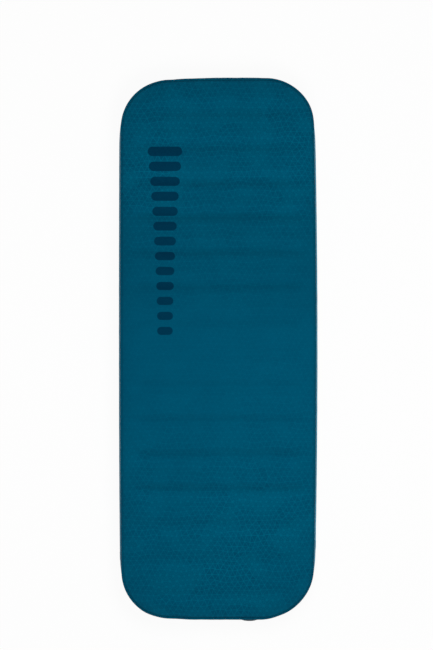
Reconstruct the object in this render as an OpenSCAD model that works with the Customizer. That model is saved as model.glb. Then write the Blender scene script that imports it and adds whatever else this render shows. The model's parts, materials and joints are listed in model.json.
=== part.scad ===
// Self-inflating sleeping pad: a foam core in an airtight fabric cover,
// with a recessed screw-in valve in the wall at the foot end.
// X is the width, +Y the head end, +Z up. The base lies on Z = 0.

/* [Pad] */
// Length over the side walls
pad_l = 1830; // [1500:5:2200]
// Width over the side walls
pad_w = 672; // [560:2:840]
// Thickness of the inflated pad
pad_t = 100; // [83:1:125]
// Corner radius of the outline, over the side walls
corner_r = 176; // [150:1:220]
// How far the side walls stand out past the seams
wall_bulge = 9; // [6:0.5:14]
// Width of the curved shoulder of the top sheet
shoulder_run = 60; // [45:1:80]
// How far the shoulder drops to the top seam
shoulder_drop = 9; // [6:0.5:12]

/* [Fabric] */
// Thickness of the top and base sheets
sheet_t = 0.6; // [0.4:0.1:1]
// Thickness of the wall strips
wall_t = 0.6; // [0.4:0.1:1]
// Width of the wall's welded hems, top and bottom
hem_w = 10; // [6:1:14]
// Distance of the left wall join from the middle of the pad, towards the foot
join_left = 700; // [500:5:720]
// Distance of the right wall join from the middle of the pad, towards the foot
join_right = 660; // [500:5:720]
// Width of the tape over a wall join
tape_w = 24; // [16:1:40]
// Thickness of that tape
tape_t = 0.4; // [0.3:0.1:0.8]

/* [Foam core] */
// Distance from one base-up channel to the next
channel_pitch = 115.6; // [100:0.2:140]
// Where the middle base-up channel lies
channel_shift = -12; // [-40:1:40]
// Base-up channels on each side of the middle one
channel_count = 7; // [3:1:7]
// Width of a channel at its base
channel_base = 64; // [40:1:76]
// Width of a channel at its blunt tip
channel_tip = 8; // [4:1:12]
// Foam left between a channel's base and the nearer sheet
channel_skin = 18; // [14:1:26]
// Gap between the foam and the wall's hems
foam_gap = 0.5; // [0.3:0.1:3]

/* [Valve] */
// Straight wall left between the valve's patch and the round corner
valve_inset = 22; // [4:1:60]
// Radius of the mouth that a pump's nozzle goes into
mouth_r = 13; // [10:0.5:15]
// Depth of the mouth that the nozzle fills
nozzle_depth = 7; // [5:0.5:9]
// Depth of the wider recess over the mouth, for the cap's plug
plug_depth = 3; // [2.4:0.2:4]
// Depth of the throat between the nozzle's stop and the grille
throat_depth = 6; // [6:0.5:9]
// Wall of the insert outside the mouth
insert_wall = 2.5; // [2:0.1:3.5]
// Radial running clearance of the thread
thread_gap = 0.08; // [0.02:0.01:0.1]
// Wall of the socket's tube
socket_wall = 2.6; // [2:0.1:3.5]
// How far the insert's head reaches past its thread
head_reach = 4.5; // [4:0.1:6]
// Thickness of the insert's head
head_t = 3.9; // [3:0.1:5]
// Play between the insert's head and the recess wall
well_gap = 2.5; // [2.4:0.1:4]
// Wall of the recess
well_wall = 1.5; // [1:0.1:2.5]
// Width of the rim round the recess
rim_w = 3.5; // [2:0.1:5]
// Height of the rim over the pad's wall
rim_u = 1; // [0.8:0.1:2]
// How far the welded patch and flange reach past the recess
patch_reach = 9; // [6:0.5:10]
// Thickness of the outer patch
patch_t = 0.5; // [0.3:0.1:1]
// Thickness of the inner welding flange
flange_t = 1.2; // [0.8:0.1:2]
// Section of the O-ring
seal_d = 1.6; // [1.2:0.1:2]
// Thickness of the cap's disc
cap_t = 2.6; // [2.2:0.1:4]
// Diameter of the cap's hinge pin
pin_d = 1.6; // [1.2:0.1:1.8]
// Diameter of the flap's stem
stem_d = 3; // [2:0.1:4]
// Travel of the flap when it is pressed
flap_travel = 2; // [1:0.1:2.5]

/* [Hidden] */
$fn = 96;
arc_fn = 360;
part_gap = 0.3;
weld_gap = 0.1;
far = 4000;

// Seam line: a round-cornered oblong, inside the bulging walls
seam_r = corner_r - wall_bulge;
core_x = pad_w / 2 - corner_r;
core_y = pad_l / 2 - corner_r;

// Shoulder arc of the top sheet, in a section across the edge
shoulder_r = (shoulder_run ^ 2 + shoulder_drop ^ 2) / (2 * shoulder_drop);
flat_r = seam_r - shoulder_run;

// Bulge arc of the wall, from the base sheet to the top sheet's underside
seam_top = pad_t - shoulder_r
           + sqrt((shoulder_r - sheet_t) ^ 2 - shoulder_run ^ 2);
wall_mid = (sheet_t + seam_top) / 2;
half_rise = (seam_top - sheet_t) / 2;
wall_r = (half_rise ^ 2 + wall_bulge ^ 2) / (2 * wall_bulge);

// Foam slab
foam_r = seam_r - hem_w - foam_gap;
bond_gap = 0.2;
foam_top = pad_t - sheet_t - bond_gap;

// Radii of the valve, about its own axis
insert_r = mouth_r + insert_wall;
socket_r = insert_r + thread_gap;
socket_out_r = socket_r + socket_wall;
head_r = insert_r + head_reach;
well_r = head_r + well_gap;
well_out_r = well_r + well_wall;
rim_r = well_out_r + rim_w;
patch_r = well_out_r + patch_reach;
valve_x = core_x - patch_r - valve_inset;
grille_r = mouth_r + insert_wall / 2;
plug_r = mouth_r + 1;
throat_r = mouth_r - 0.8;
lip_r = mouth_r - 0.5;
cap_r = head_r - 2.5;
window_r = mouth_r - 1.5;
hub_r = stem_d / 2 + 2.6;
button_r = stem_d / 2 + 1.7;

// Heights of the valve along its axis, outwards from the pad's wall
cap_top_u = 0.6;
cap_under_u = cap_top_u - cap_t;
head_u = cap_under_u - part_gap;
head_under_u = head_u - head_t;
seat_u = head_under_u - part_gap;
seat_t = 1.6;
plug_u = head_u - plug_depth;
stop_u = plug_u - nozzle_depth;
step_u = stop_u - throat_depth;
grille_t = 2;
flap_u = step_u - grille_t - 0.1;
flap_t = 1;
insert_end_u = step_u - grille_t - 2.5;
mesh_t = 0.4;
keep_t = 1.5;
keep_u = flap_u - flap_t - flap_travel - 1.4;
lip_u = keep_u - keep_t - mesh_t;
lip_t = 1.5;
socket_end_u = lip_u - lip_t;
button_t = 3;
button_u = step_u + flap_travel + part_gap;

// O-ring groove under the insert's head
seal_r = (insert_r + head_r) / 2;
groove_half = seal_d / 2 + 0.3;
groove_depth = seal_d - 0.2;

// Cap hinge
pin_y = head_r - 0.5;
pin_u = cap_top_u - 1;
pin_gap = 0.05;
gasket_in = plug_r + 0.4;
gasket_out = cap_r - 0.9;
gasket_depth = 0.9;
knuckle_r = 1.5;
knuckle_w = 7;
ear_w = 2.5;
ear_x = knuckle_w / 2 + part_gap;

teal = [0.02, 0.31, 0.41];
slate = [0.16, 0.19, 0.21];
smoke = [0.24, 0.27, 0.29];
foam_tint = [0.87, 0.86, 0.80];
silicone = [0.55, 0.57, 0.58];
steel = [0.72, 0.73, 0.75];

// ---- Sweeps and sections of the pad

// Round-cornered oblong whose corners have radius r
module oblong(r) {
    square([2 * core_x, 2 * (core_y + r)], center = true);
    square([2 * (core_x + r), 2 * core_y], center = true);
    for (sx = [-1, 1], sy = [-1, 1])
        translate([sx * core_x, sy * core_y])
            circle(r = r);
}

// Sweeps a section round the pad: X is the distance from the corner's centre
module round_pad() {
    for (side = [0, 1])
        rotate([0, 0, 180 * side]) {
            translate([core_x, core_y, 0])
                rotate_extrude(angle = 90)
                    children();
            translate([-core_x, core_y, 0])
                rotate([0, 0, 90])
                    rotate_extrude(angle = 90)
                        children();
            translate([core_x, core_y, 0])
                rotate([90, 0, 0])
                    linear_extrude(2 * core_y)
                        children();
            translate([-core_x, core_y, 0])
                rotate([90, 0, 90])
                    linear_extrude(2 * core_x)
                        children();
        }
}

// Section inside the shoulder arc, moved in by inset
module shoulder_disc(inset) {
    translate([flat_r, pad_t - shoulder_r])
        circle(r = shoulder_r - inset, $fn = arc_fn);
}

// Section inside the wall's bulge arc, moved in by inset
module bulge_disc(inset) {
    translate([seam_r + wall_bulge - wall_r, wall_mid])
        circle(r = wall_r - inset, $fn = arc_fn);
}

module wall_section() {
    intersection() {
        difference() {
            bulge_disc(0);
            bulge_disc(wall_t);
        }
        shoulder_disc(sheet_t + weld_gap);
        translate([foam_r, sheet_t])
            square([seam_r, pad_t]);
    }
    intersection() {
        difference() {
            shoulder_disc(sheet_t + weld_gap);
            shoulder_disc(sheet_t + weld_gap + wall_t);
        }
        translate([seam_r - hem_w, wall_mid])
            square([hem_w - wall_t / 2, pad_t]);
    }
    translate([seam_r - hem_w, sheet_t])
        square([hem_w - wall_t / 2, wall_t]);
}

module side_wall() {
    difference() {
        round_pad()
            wall_section();
        at_valve()
            translate([0, 0, -wall_bulge])
                cylinder(r = well_out_r + part_gap, h = 2 * wall_bulge);
    }
}

// Everything on the foot side of the two wall joins
module foot_zone() {
    translate([-far, -far, -far / 2])
        cube([far, far - join_left, far]);
    translate([0, -far, -far / 2])
        cube([far, far - join_right, far]);
}

// Tape on the outside of the wall on the right long side, centred on y
module join_tape(y) {
    translate([core_x, y + tape_w / 2, 0])
        rotate([90, 0, 0])
            linear_extrude(tape_w)
                intersection() {
                    difference() {
                        bulge_disc(-weld_gap - tape_t);
                        bulge_disc(-weld_gap);
                    }
                    translate([seam_r, sheet_t + tape_t])
                        square([corner_r, 2 * half_rise - 2 * tape_t]);
                }
}

// ---- Cover and foam

module top_sheet() {
    color(teal) {
        translate([0, 0, pad_t - sheet_t])
            linear_extrude(sheet_t)
                oblong(flat_r);
        round_pad()
            difference() {
                intersection() {
                    shoulder_disc(0);
                    translate([flat_r, wall_mid])
                        square([shoulder_run, pad_t]);
                }
                shoulder_disc(sheet_t);
            }
    }
}

module base_sheet() {
    color(slate)
        linear_extrude(sheet_t)
            oblong(seam_r);
}

module side_wall_head() {
    color(teal)
        difference() {
            side_wall();
            foot_zone();
        }
}

module side_wall_foot() {
    color(teal)
        intersection() {
            side_wall();
            foot_zone();
        }
}

module wall_join_tape_left() {
    color(teal)
        mirror([1, 0, 0])
            join_tape(-join_left);
}

module wall_join_tape_right() {
    color(teal)
        join_tape(-join_right);
}

// Channel across the pad at y, its base up or down
module channel(y, base_up) {
    low = sheet_t + channel_skin;
    high = foam_top - channel_skin;
    base_z = base_up ? high : low;
    tip_z = base_up ? low : high;
    translate([-pad_w / 2, y, 0])
        rotate([90, 0, 90])
            linear_extrude(pad_w)
                polygon([
                    [-channel_base / 2, base_z],
                    [-channel_tip / 2, tip_z],
                    [channel_tip / 2, tip_z],
                    [channel_base / 2, base_z]
                ]);
}

module foam_core() {
    color(foam_tint)
        difference() {
            union() {
                translate([0, 0, sheet_t])
                    linear_extrude(foam_top - sheet_t)
                        oblong(flat_r);
                round_pad()
                    intersection() {
                        shoulder_disc(sheet_t + bond_gap);
                        translate([flat_r, sheet_t])
                            square([foam_r - flat_r, pad_t]);
                    }
            }
            for (k = [-channel_count : channel_count])
                channel(channel_shift + k * channel_pitch, true);
            for (k = [-channel_count : channel_count - 1])
                channel(channel_shift + (k + 0.5) * channel_pitch, false);
            at_valve()
                translate([0, 0, socket_end_u - 3])
                    cylinder(r = socket_out_r + 2, h = far);
        }
}

// ---- Valve, in its own frame: Z points out of the wall, Y up

module at_valve() {
    translate([valve_x, -pad_l / 2, wall_mid])
        rotate([90, 0, 0])
            children();
}

// Solid inside the bulging wall, moved out by grow
module inside_wall(grow) {
    translate([0, 0, -wall_r])
        rotate([0, 90, 0])
            cylinder(r = wall_r + grow, h = 4 * patch_r, center = true,
                     $fn = arc_fn);
}

// Ring of a curved sheet that lies on the wall, from grow_in to grow_out
module wall_ring(grow_in, grow_out) {
    intersection() {
        difference() {
            inside_wall(grow_out);
            inside_wall(grow_in);
        }
        difference() {
            translate([0, 0, -patch_r / 2])
                cylinder(r = patch_r, h = patch_r);
            translate([0, 0, -patch_r])
                cylinder(r = well_out_r + weld_gap, h = 2 * patch_r);
        }
    }
}

// Ring about the valve's axis
module ring(r_in, r_out, u_low, u_high) {
    translate([0, 0, u_low])
        difference() {
            cylinder(r = r_out, h = u_high - u_low);
            translate([0, 0, -1])
                cylinder(r = r_in, h = u_high - u_low + 2);
        }
}

module valve_patch() {
    color(slate)
        at_valve()
            wall_ring(weld_gap, weld_gap + patch_t);
}

module valve_flange() {
    color(smoke)
        at_valve()
            wall_ring(-wall_t - weld_gap - flange_t, -wall_t - weld_gap);
}

module valve_socket() {
    color(slate)
        at_valve() {
            rotate_extrude()
                polygon([
                    [socket_r, seat_u],
                    [well_r, seat_u],
                    [well_r, rim_u],
                    [well_out_r, rim_u],
                    [well_out_r, seat_u - seat_t],
                    [socket_out_r, seat_u - seat_t],
                    [socket_out_r, socket_end_u],
                    [lip_r, socket_end_u],
                    [lip_r, lip_u],
                    [socket_r, lip_u]
                ]);
            difference() {
                ring(well_out_r - well_wall / 2, rim_r, -wall_bulge, rim_u);
                inside_wall(patch_t + 2 * weld_gap);
            }
        }
}

module filter_mesh() {
    color(silicone)
        at_valve()
            translate([0, 0, lip_u])
                cylinder(r = socket_r - weld_gap, h = mesh_t);
}

module filter_ring() {
    color(smoke)
        at_valve()
            ring(lip_r, socket_r - weld_gap, lip_u + mesh_t, keep_u);
}

// Ear of the cap's hinge on the insert's head
module ear() {
    foot_u = head_under_u + groove_depth;
    difference() {
        union() {
            translate([0, pin_y - knuckle_r, foot_u])
                cube([ear_w, 2 * knuckle_r, pin_u - foot_u]);
            translate([0, pin_y, pin_u])
                rotate([0, 90, 0])
                    cylinder(r = knuckle_r, h = ear_w);
        }
        translate([-1, pin_y, pin_u])
            rotate([0, 90, 0])
                cylinder(r = pin_d / 2 + 0.02, h = ear_w + 2);
    }
}

module insert_ring() {
    grips = 30;
    grip_r = 1;
    color(smoke)
        at_valve() {
            difference() {
                rotate_extrude()
                    polygon([
                        [plug_r, head_u],
                        [head_r, head_u],
                        [head_r, head_under_u],
                        [seal_r + groove_half, head_under_u],
                        [seal_r + groove_half, head_under_u + groove_depth],
                        [seal_r - groove_half, head_under_u + groove_depth],
                        [seal_r - groove_half, head_under_u],
                        [insert_r, head_under_u],
                        [insert_r, insert_end_u],
                        [grille_r, insert_end_u],
                        [grille_r, step_u],
                        [throat_r, step_u],
                        [throat_r, stop_u],
                        [mouth_r, stop_u],
                        [mouth_r, plug_u],
                        [plug_r, plug_u]
                    ]);
                for (k = [2 : grips - 2])
                    rotate([0, 0, 90 + k * 360 / grips])
                        translate([head_r + grip_r / 2, 0, head_under_u + 1])
                            cylinder(r = grip_r, h = head_t, $fn = 24);
            }
            translate([ear_x, 0, 0])
                ear();
            translate([-ear_x - ear_w, 0, 0])
                ear();
        }
}

module insert_grille() {
    spokes = 8;
    spoke_w = 1.6;
    color(smoke)
        at_valve() {
            ring(window_r, grille_r - weld_gap, step_u - grille_t, step_u);
            difference() {
                union() {
                    translate([0, 0, step_u - grille_t])
                        cylinder(r = hub_r, h = grille_t);
                    for (k = [0 : spokes - 1])
                        rotate([0, 0, k * 360 / spokes])
                            translate([0, -spoke_w / 2, step_u - grille_t])
                                cube([window_r + 0.5, spoke_w, grille_t]);
                }
                translate([0, 0, step_u - grille_t - 1])
                    cylinder(r = stem_d / 2 + 0.1, h = grille_t + 2);
            }
        }
}

module insert_seal() {
    color("black")
        at_valve()
            translate([0, 0, seat_u + 0.06 + seal_d / 2])
                rotate_extrude()
                    translate([seal_r, 0])
                        circle(d = seal_d, $fn = 32);
}

module one_way_flap() {
    color(silicone)
        at_valve() {
            translate([0, 0, flap_u - flap_t])
                cylinder(r = (window_r + grille_r) / 2, h = flap_t);
            translate([0, 0, flap_u - flap_t])
                cylinder(d = stem_d, h = button_u + 2 - flap_u + flap_t);
        }
}

// Button pressed over the stem, with a blind hole for it
module flap_button() {
    chamfer = 0.8;
    color("orange")
        at_valve()
            rotate_extrude()
                polygon([
                    [stem_d / 2 + weld_gap, button_u],
                    [button_r, button_u],
                    [button_r, button_u + button_t - chamfer],
                    [button_r - chamfer, button_u + button_t],
                    [0, button_u + button_t],
                    [0, button_u + 2],
                    [stem_d / 2 + weld_gap, button_u + 2]
                ]);
}

module cap_hinge_pin() {
    pin_l = 2 * (ear_x + ear_w);
    color(steel)
        at_valve()
            translate([-pin_l / 2, pin_y, pin_u])
                rotate([0, 90, 0])
                    cylinder(d = pin_d, h = pin_l);
}

module valve_cap() {
    skirt_h = plug_depth - 0.2;
    skirt_r = plug_r - 0.8;
    skirt_wall = 1.6;
    dish_depth = 0.6;
    lip_w = 10;
    lip_reach = 3.2;
    color(smoke)
        at_valve()
            difference() {
                union() {
                    translate([0, 0, cap_under_u])
                        cylinder(r = cap_r, h = cap_t);
                    translate([0, 0, cap_under_u - skirt_h])
                        cylinder(r1 = skirt_r, r2 = skirt_r + 0.4,
                                 h = skirt_h);
                    translate([-lip_w / 2, -cap_r - lip_reach, cap_under_u + 0.6])
                        cube([lip_w, lip_reach + 2, cap_t - 0.6]);
                    translate([-lip_w / 2, -cap_r - lip_reach, cap_top_u])
                        cube([lip_w, 1.4, 0.9]);
                    translate([-knuckle_w / 2, cap_r - 2, pin_u - 1.3])
                        cube([knuckle_w, pin_y - cap_r + 2, 2.3]);
                    translate([-knuckle_w / 2, pin_y, pin_u])
                        rotate([0, 90, 0])
                            cylinder(r = knuckle_r, h = knuckle_w);
                }
                ring(gasket_in - 0.1, gasket_out + 0.1,
                     cap_under_u - 0.01, cap_under_u + gasket_depth);
                translate([0, 0, cap_under_u - skirt_h - 1])
                    cylinder(r = skirt_r - skirt_wall, h = skirt_h + 1);
                translate([0, 0, cap_top_u - dish_depth])
                    cylinder(r1 = cap_r - 5, r2 = cap_r - 4,
                             h = dish_depth + 0.01);
                translate([-knuckle_w, pin_y, pin_u])
                    rotate([0, 90, 0])
                        cylinder(r = pin_d / 2 + pin_gap, h = 2 * knuckle_w);
            }
}

module cap_gasket() {
    color("black")
        at_valve()
            ring(gasket_in, gasket_out, head_u + 0.05,
                 cap_under_u + gasket_depth);
}

top_sheet();
base_sheet();
side_wall_head();
side_wall_foot();
wall_join_tape_left();
wall_join_tape_right();
foam_core();
valve_patch();
valve_flange();
valve_socket();
filter_mesh();
filter_ring();
insert_ring();
insert_grille();
insert_seal();
one_way_flap();
flap_button();
cap_hinge_pin();
valve_cap();
cap_gasket();
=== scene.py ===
# %% [markdown]
# # A self-inflating sleeping pad
#
# The pad is a slab of foam glued between two fabric sheets. A fabric wall runs round it and is
# welded to both sheets, and a valve is welded into the wall near the foot. The solid model holds
# every part at its true size, so this lesson keeps those sizes and adds what a solid cannot show:
# cloth that swells, soft ripples, weld seams, print, weave and wear.
#
# The first cell loads the solid model. It stays where it is, and the cloth is made around it.

import json
import math

import bmesh
import bpy
from mathutils import Matrix, Vector, noise
from mathutils.bvhtree import BVHTree

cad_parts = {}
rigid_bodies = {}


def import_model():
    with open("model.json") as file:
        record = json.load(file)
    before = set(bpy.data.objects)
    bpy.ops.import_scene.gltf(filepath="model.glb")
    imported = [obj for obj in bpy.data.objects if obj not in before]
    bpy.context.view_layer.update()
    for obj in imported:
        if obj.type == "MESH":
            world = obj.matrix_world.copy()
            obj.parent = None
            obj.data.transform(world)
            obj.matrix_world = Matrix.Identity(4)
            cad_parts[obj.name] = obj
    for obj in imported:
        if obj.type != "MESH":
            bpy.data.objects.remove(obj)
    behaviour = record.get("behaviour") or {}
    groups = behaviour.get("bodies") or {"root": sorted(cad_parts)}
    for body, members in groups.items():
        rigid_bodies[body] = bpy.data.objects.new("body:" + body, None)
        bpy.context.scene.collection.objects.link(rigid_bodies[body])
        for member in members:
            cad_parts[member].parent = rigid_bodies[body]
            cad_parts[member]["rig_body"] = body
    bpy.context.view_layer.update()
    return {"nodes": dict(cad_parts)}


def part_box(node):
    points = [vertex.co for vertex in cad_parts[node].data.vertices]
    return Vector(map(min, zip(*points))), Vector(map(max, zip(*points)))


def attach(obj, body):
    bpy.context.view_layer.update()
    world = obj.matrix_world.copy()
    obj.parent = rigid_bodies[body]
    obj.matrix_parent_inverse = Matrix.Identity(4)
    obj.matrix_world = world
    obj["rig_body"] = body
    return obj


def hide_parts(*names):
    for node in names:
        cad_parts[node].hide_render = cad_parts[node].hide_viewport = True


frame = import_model()

# %% [markdown]
# Sizes come from the solid model. The seam line is a long oblong with round corners. It is the
# edge of the top sheet, and the wall bulges a little beyond it. Everything is in metres.

# %% Sizes of the pad
sheet_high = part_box("top_sheet")[1]
wall_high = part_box("side_wall_head")[1]
seam_x = sheet_high.x
seam_y = sheet_high.y
top_z = sheet_high.z
wall_bulge = wall_high.x - seam_x
seam_drop = 0.009
seam_z = top_z - seam_drop
corner = 0.167
arc_x = seam_x - corner
arc_y = seam_y - corner
shoulder_run = 0.060
sheet_t = 0.0006
join_left_y = (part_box("wall_join_tape_left")[0].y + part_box("wall_join_tape_left")[1].y) / 2
join_right_y = (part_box("wall_join_tape_right")[0].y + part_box("wall_join_tape_right")[1].y) / 2
hatch_low, hatch_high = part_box("valve_socket")
valve_x = (hatch_low.x + hatch_high.x) / 2
valve_z = (hatch_low.z + hatch_high.z) / 2
print("seam half sizes:", round(seam_x, 4), round(seam_y, 4), "valve at", round(valve_x, 4))

# %% [markdown]
# A few helpers keep the later cells short. An operator works on whatever is selected, so each
# helper starts by clearing the selection and then picks one object.

# %% Helpers for picking and applying
def pick(obj):
    bpy.ops.object.select_all(action="DESELECT")
    obj.hide_set(False)
    obj.select_set(True)
    bpy.context.view_layer.objects.active = obj


def edit_all(obj):
    pick(obj)
    bpy.ops.object.mode_set(mode="EDIT")
    bpy.ops.mesh.select_all(action="SELECT")


def select_parts(obj, kind, rule):
    """Select in edit mode the edges or faces that a rule picks, and count them."""
    pick(obj)
    bpy.ops.object.mode_set(mode="EDIT")
    bpy.ops.mesh.select_mode(type=kind)
    bpy.ops.mesh.select_all(action="DESELECT")
    shape = bmesh.from_edit_mesh(obj.data)
    chosen = [part for part in (shape.edges if kind == "EDGE" else shape.faces) if rule(part)]
    for part in chosen:
        part.select_set(True)
    bmesh.update_edit_mesh(obj.data)
    return len(chosen)


def select_edges(obj, rule):
    return select_parts(obj, "EDGE", rule)


def select_faces(obj, rule):
    return select_parts(obj, "FACE", rule)


def leave_edit():
    bpy.ops.object.mode_set(mode="OBJECT")


def apply_all(obj):
    pick(obj)
    for modifier in list(obj.modifiers):
        bpy.ops.object.modifier_apply(modifier=modifier.name)


def copy_of(obj, name):
    twin = obj.copy()
    twin.data = obj.data.copy()
    twin.name = name
    bpy.context.scene.collection.objects.link(twin)
    return twin


def split_off(obj, name):
    leave_edit()
    before = set(bpy.data.objects)
    bpy.ops.object.mode_set(mode="EDIT")
    bpy.ops.mesh.separate(type="SELECTED")
    leave_edit()
    made = [o for o in bpy.data.objects if o not in before][0]
    made.name = name
    return made


def smooth_step(low, high, value):
    t = min(max((value - low) / (high - low), 0), 1)
    return t * t * (3 - 2 * t)


def cut_away(obj, cutter):
    """Cut one closed shape out of another, and throw the cutter away."""
    cut = obj.modifiers.new("cut", "BOOLEAN")
    cut.operation = "DIFFERENCE"
    cut.solver = "EXACT"
    cut.object = cutter
    apply_all(obj)
    bpy.data.objects.remove(cutter)


def valve_rod(vertices, radius, depth, y):
    """A cylinder along the valve's axis."""
    bpy.ops.object.select_all(action="DESELECT")
    bpy.ops.mesh.primitive_cylinder_add(
        vertices=vertices,
        radius=radius,
        depth=depth,
        location=(valve_x, y, valve_z),
        rotation=(math.radians(90), 0, 0),
    )
    return bpy.context.object


def core_of(x, y, z):
    """The nearest point of the oblong that the round corners turn about."""
    return Vector((min(max(x, -arc_x), arc_x), min(max(y, -arc_y), arc_y), z))


def set_in(x, y):
    """How far a point lies inside the seam line."""
    dx = abs(x) - arc_x
    dy = abs(y) - arc_y
    outside = math.hypot(max(dx, 0), max(dy, 0))
    return corner - outside - min(max(dx, dy), 0)


# %% [markdown]
# ## The skin
#
# The fabric skin begins as one flat grid. Rounding the corners of a grid keeps its rows and
# columns, so the cloth has even cells everywhere and the seam is one clean loop. A disc of
# triangles or a remeshed block would lose that loop, and the weld seam needs it.
#
# The grid stops a little inside the seam. The rim is then extruded outwards in narrow steps,
# because the weld needs finer rows than the open field does.

# %% Lay out the top of the skin
cell = 0.011
rim_steps = (0.0110, 0.0080, 0.0050, 0.0025, 0.0)
field_inset = 0.0150
field_x = seam_x - field_inset
field_y = seam_y - field_inset
bpy.ops.object.select_all(action="DESELECT")
bpy.ops.mesh.primitive_grid_add(
    x_subdivisions=round(2 * field_x / cell),
    y_subdivisions=round(2 * field_y / cell),
    size=1,
)
skin = bpy.context.object
skin.name = "skin"
edit_all(skin)
bpy.ops.transform.resize(value=(2 * field_x, 2 * field_y, 1))
leave_edit()

field_r = corner - field_inset
for vertex in skin.data.vertices:
    u = (abs(vertex.co.x) - arc_x) / field_r
    v = (abs(vertex.co.y) - arc_y) / field_r
    if u > 0 and v > 0:
        x = arc_x + field_r * u * math.sqrt(1 - v * v / 2)
        y = arc_y + field_r * v * math.sqrt(1 - u * u / 2)
        vertex.co.x = math.copysign(x, vertex.co.x)
        vertex.co.y = math.copysign(y, vertex.co.y)

select_edges(skin, lambda edge: edge.is_boundary)
for inset in rim_steps:
    bpy.ops.mesh.extrude_edges_move()
    shape = bmesh.from_edit_mesh(skin.data)
    for vertex in shape.verts:
        if vertex.select:
            core = core_of(vertex.co.x, vertex.co.y, 0)
            away = (vertex.co - core).normalized()
            vertex.co = core + away * (corner - inset)
    bmesh.update_edit_mesh(skin.data)
leave_edit()
print("top cells:", len(skin.data.polygons))

# %% [markdown]
# The sheet is not flat at its edge. Over the last 60 mm it rolls down to the seam on a large
# radius. The same grid, copied and turned over, becomes the base, which is flat because the pad
# lies on it. Bridging the two rims makes the wall in even rows.

# %% Roll the shoulder down and close the skin
shoulder_r = (shoulder_run**2 + seam_drop**2) / (2 * seam_drop)
wall_rows = 10


def top_height(inside):
    reach = max(shoulder_run - inside, 0)
    return top_z - shoulder_r + math.sqrt(shoulder_r**2 - reach**2)


for vertex in skin.data.vertices:
    vertex.co.z = top_height(set_in(vertex.co.x, vertex.co.y))

edit_all(skin)
bpy.ops.mesh.duplicate_move()
bpy.ops.mesh.flip_normals()
shape = bmesh.from_edit_mesh(skin.data)
for vertex in shape.verts:
    if vertex.select:
        vertex.co.z = 0
bmesh.update_edit_mesh(skin.data)
leave_edit()
select_edges(skin, lambda edge: edge.is_boundary)
bpy.ops.mesh.bridge_edge_loops(number_cuts=wall_rows - 1, interpolation="LINEAR")
bpy.ops.mesh.select_all(action="SELECT")
bpy.ops.mesh.normals_make_consistent(inside=False)
leave_edit()

TOP, BASE, WALL = 0, 1, 2
for part_name in ("top", "base", "wall"):
    skin.data.materials.append(bpy.data.materials.new(part_name + "_mark"))
for face in skin.data.polygons:
    if abs(face.normal.z) < 0.5:
        face.material_index = WALL
    else:
        face.material_index = TOP if face.normal.z > 0 else BASE
print("skin cells:", len(skin.data.polygons))

# %% [markdown]
# ## Air in the pad
#
# Air presses the skin outwards. The sheets are glued to the foam and the seams hold their line,
# so those points are pinned. The wall has nothing behind it but air and swells between its two
# seams. The sheets are pinned hard along the ripples and less between them, where the channels
# in the foam let the sheet rise. Gravity is off, because it is nothing against the pressure.
#
# The solver's wall is scaled to swell as far as the real one does, which the solid model gives.
# On the sheets a soft cap keeps each point near its place, and keeps the curve round.

# %% Pin the skin and inflate it
ripple_pitch = 0.1165
ripple_shift = -0.0135
air_frames = 20
sheet_cap = 0.0020


def ripple_phase(y):
    """0 in the middle of a main ripple, 0.5 midway to the next."""
    turns = (y - ripple_shift) / ripple_pitch
    return abs(turns - round(turns))


bond = skin.vertex_groups.new(name="bond")
for vertex in skin.data.vertices:
    x, y, z = vertex.co
    inside = set_in(x, y)
    if inside < -0.0001 or 0.0001 < z < seam_z - 0.0001 and inside < 0.0001:
        bond.add([vertex.index], 0.0, "REPLACE")
    elif inside < 0.012 or z < 0.0001:
        bond.add([vertex.index], 1.0, "REPLACE")
    else:
        free = smooth_step(0.08, 0.30, ripple_phase(y)) * smooth_step(0.012, 0.08, inside)
        bond.add([vertex.index], 1.0 - 0.7 * free, "REPLACE")


def inflate(obj):
    rest = [vertex.co.copy() for vertex in obj.data.vertices]
    cloth = obj.modifiers.new("air", "CLOTH")
    cloth.settings.quality = 5
    cloth.settings.mass = 0.012
    cloth.settings.tension_stiffness = 3
    cloth.settings.compression_stiffness = 3
    cloth.settings.shear_stiffness = 3
    cloth.settings.bending_stiffness = 0.5
    cloth.settings.vertex_group_mass = "bond"
    cloth.settings.pin_stiffness = 1.0
    cloth.settings.use_pressure = True
    cloth.settings.uniform_pressure_force = 60.0
    cloth.settings.effector_weights.gravity = 0
    cloth.point_cache.frame_start = 1
    cloth.point_cache.frame_end = air_frames
    scene = bpy.context.scene
    for step in range(1, air_frames + 1):
        scene.frame_set(step)
    pick(obj)
    bpy.ops.object.modifier_apply(modifier=cloth.name)
    scene.frame_set(1)
    moves = [vertex.co - start for vertex, start in zip(obj.data.vertices, rest)]
    on_wall = [
        set_in(start.x, start.y) < 0.0001 and 0.0001 < start.z < seam_z - 0.0001
        for start in rest
    ]
    most_wall = max(move.length for move, side in zip(moves, on_wall) if side)
    most_sheet = max(move.length for move, side in zip(moves, on_wall) if not side)
    print("air moved the wall", round(most_wall, 4), "and the sheets", round(most_sheet, 4))
    gain = wall_bulge / most_wall
    for vertex, start, move, side in zip(obj.data.vertices, rest, moves, on_wall):
        if side:
            vertex.co = start + move * gain
        elif move.length > 0:
            capped = sheet_cap * math.tanh(move.length / sheet_cap)
            vertex.co = start + move.normalized() * capped


wall_half = seam_z / 2
wall_r = (wall_half**2 + wall_bulge**2) / (2 * wall_bulge)


def wall_arc(z):
    """How far the wall stands out from the seam line at a height."""
    return math.sqrt(max(wall_r**2 - (z - wall_half) ** 2, 0)) - wall_r + wall_bulge


inflate(skin)

# %% [markdown]
# One round of subdivision makes the cloth smooth. The seam edges are creased first, so that they
# stay where the weld holds them. Near the valve the wall must meet the solid patch exactly, so
# the cloth eases into the wall's true arc there.

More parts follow.
